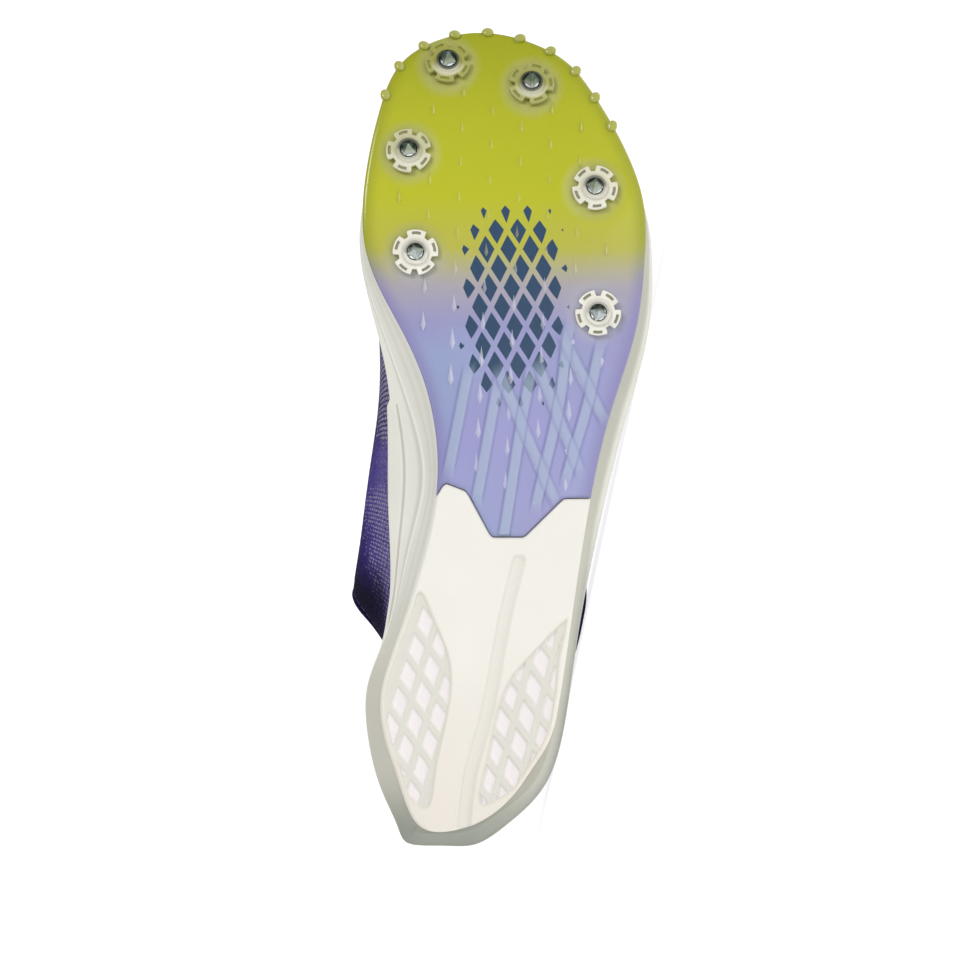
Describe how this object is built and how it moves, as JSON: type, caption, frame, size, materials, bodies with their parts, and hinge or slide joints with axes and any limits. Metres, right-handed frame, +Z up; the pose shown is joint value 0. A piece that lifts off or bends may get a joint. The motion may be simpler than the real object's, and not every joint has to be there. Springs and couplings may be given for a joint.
{
  "type": "track spike shoe",
  "caption": "Left track spike shoe lying on its outer side, with knitted upper, laces, stiff forefoot plate with screw-in pins, foam midsole and heel pad",
  "frame": {"origin": "middle of the bounding box's bottom, on the surface that the shoe lies on", "axes": "+Z up. The shoe lies on its outer side with its toe toward +X, tipped up about 12 degrees, and its sole faces -Y"},
  "size_m": [0.2814, 0.0966, 0.1071],
  "materials": {
    "foam": "satin foam",
    "insole_cloth": "woven",
    "knit": "knitted",
    "tongue_cloth": "knitted",
    "lace_cloth": "woven",
    "pad_rubber": "matte",
    "plate_plastic": "glossy",
    "socket_plastic": "satin",
    "pin_steel": "polished"
  },
  "bodies": {
    "root": {"midsole": "foam", "insole": "insole_cloth", "upper": "knit", "tongue": "tongue_cloth", "laces": "lace_cloth", "heel_pad": "pad_rubber", "spike_plate": "plate_plastic", "receptacle_1": "socket_plastic", "receptacle_2": "socket_plastic", "receptacle_3": "socket_plastic", "receptacle_4": "socket_plastic", "receptacle_5": "socket_plastic", "receptacle_6": "socket_plastic", "spike_1": "pin_steel", "spike_2": "pin_steel", "spike_3": "pin_steel", "spike_4": "pin_steel", "spike_5": "pin_steel", "spike_6": "pin_steel"}
  },
  "joints": []
}
